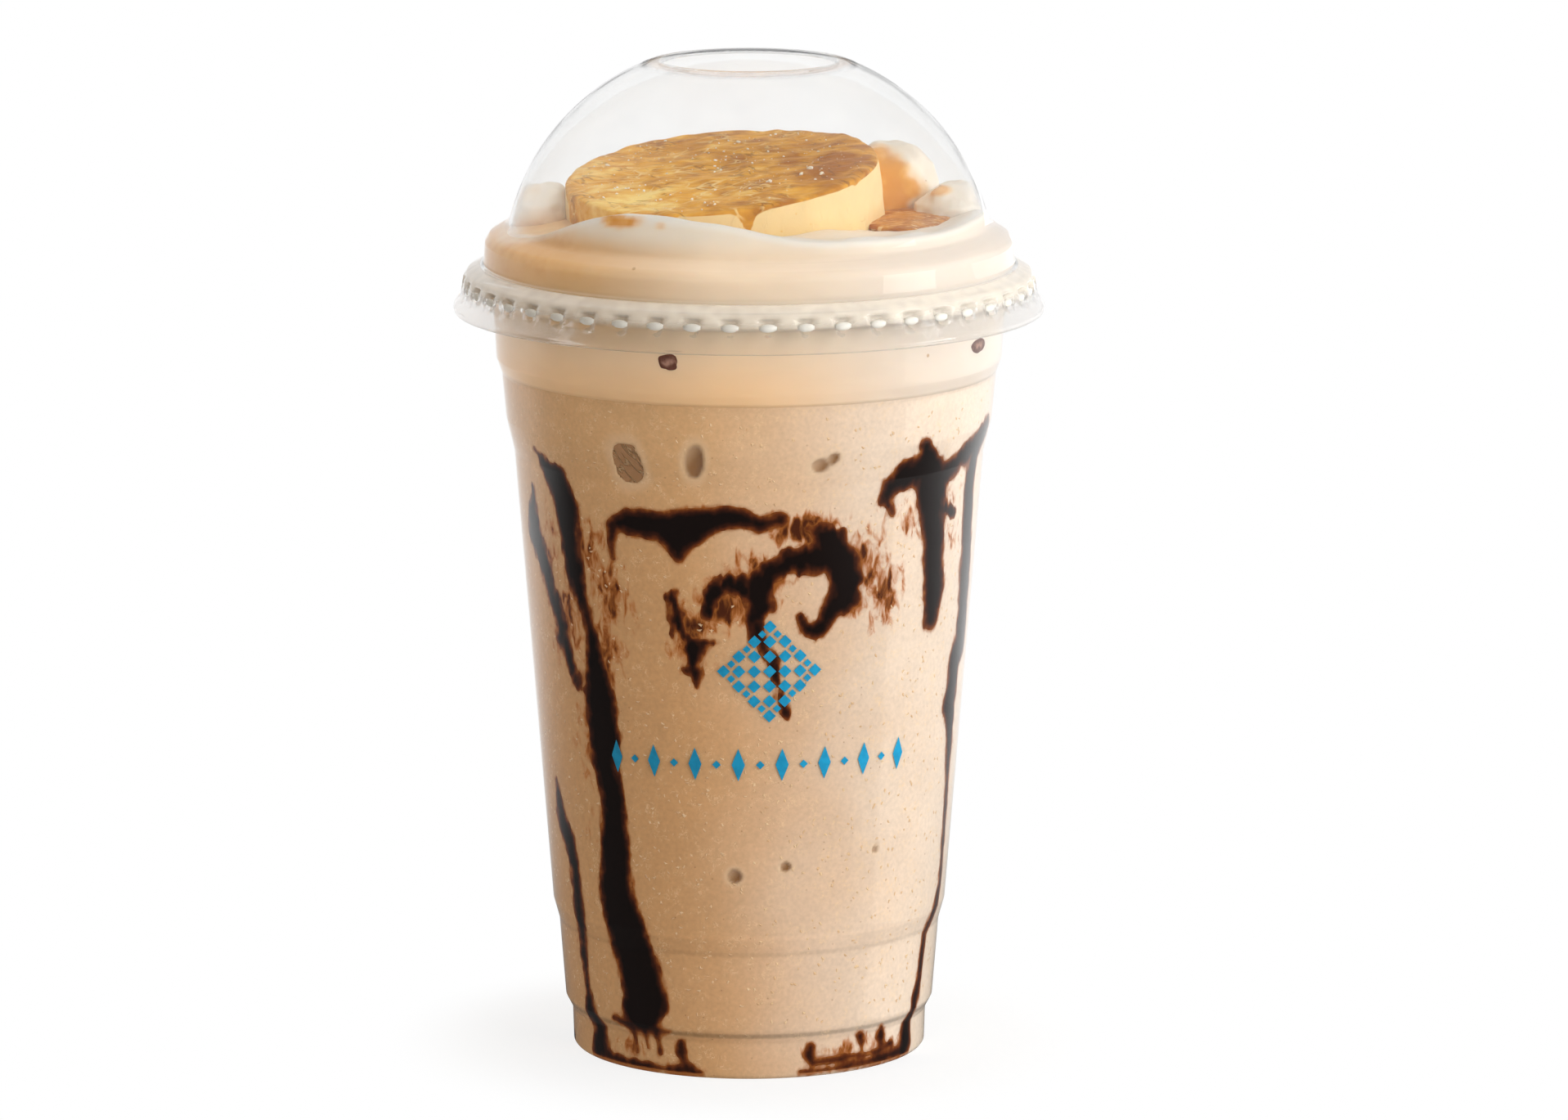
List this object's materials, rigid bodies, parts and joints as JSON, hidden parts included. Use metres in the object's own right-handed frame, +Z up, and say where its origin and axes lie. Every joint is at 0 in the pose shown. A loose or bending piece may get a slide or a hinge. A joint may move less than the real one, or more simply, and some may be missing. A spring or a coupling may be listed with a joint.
{
  "type": "blended coffee drink in a domed cup",
  "caption": "Blended iced coffee with chocolate syrup streaks, a cream head and a caramelised custard round, in a clear stepped cup with a domed lid.",
  "frame": {"origin": "middle of the foot, on the surface that the cup stands on", "axes": "+Z up along the cup's axis, -Y the side with the printed motif, +X to that side's right"},
  "size_m": [0.1034, 0.1034, 0.1748],
  "materials": {
    "clear_sheet": "clear polished sheet plastic",
    "blended_coffee": "pale coffee slush, finely grained with ice",
    "cream": "soft ivory cream",
    "custard": "baked custard under glossy caramelised sugar",
    "caramel": "glossy amber sauce",
    "chocolate_syrup": "dark glossy syrup",
    "ice": "wet ice chips and air pockets",
    "chip": "dark chocolate chips",
    "sugar": "loose sugar grains",
    "print": "flat screen-printed ink"
  },
  "bodies": {
    "root": {"cup": "clear_sheet", "dome_lid": "clear_sheet", "blended_drink": "blended_coffee", "cream_head": "cream", "custard_round": "custard", "whipped_lump_back": "cream", "whipped_lump_right": "cream", "whipped_lump_left": "cream"}
  },
  "joints": []
}
